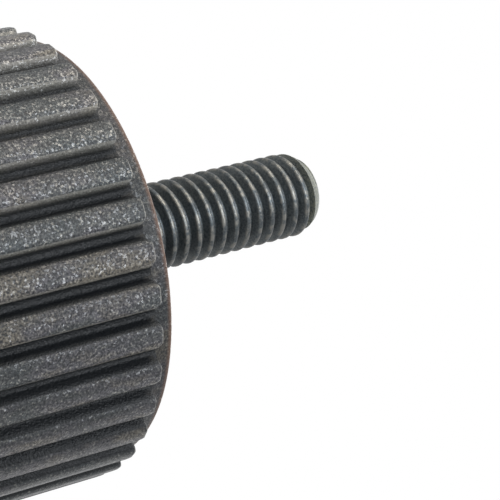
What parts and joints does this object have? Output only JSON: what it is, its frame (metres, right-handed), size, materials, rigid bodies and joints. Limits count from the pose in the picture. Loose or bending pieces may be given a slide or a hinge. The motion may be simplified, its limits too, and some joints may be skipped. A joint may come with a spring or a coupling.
{
  "type": "knurled knob",
  "caption": "Round ribbed plastic knob head with a male threaded steel stud on its axis, turned by hand to clamp or set a part.",
  "frame": {"origin": "centre of the head's flat outer face, on which the knob stands", "axes": "+Z along the knob's axis, from the outer face through the shoulder to the tip of the stud; +X through the middle of one rib"},
  "size_m": [0.0294, 0.0294, 0.036],
  "materials": {
    "head_plastic": "black glass-filled moulding with a dull, lightly speckled skin",
    "stud_steel": "black oxide, worn to grey on the thread crests and the tip"
  },
  "bodies": {
    "root": {"knob_head": "head_plastic", "threaded_stud": "stud_steel"}
  },
  "joints": []
}
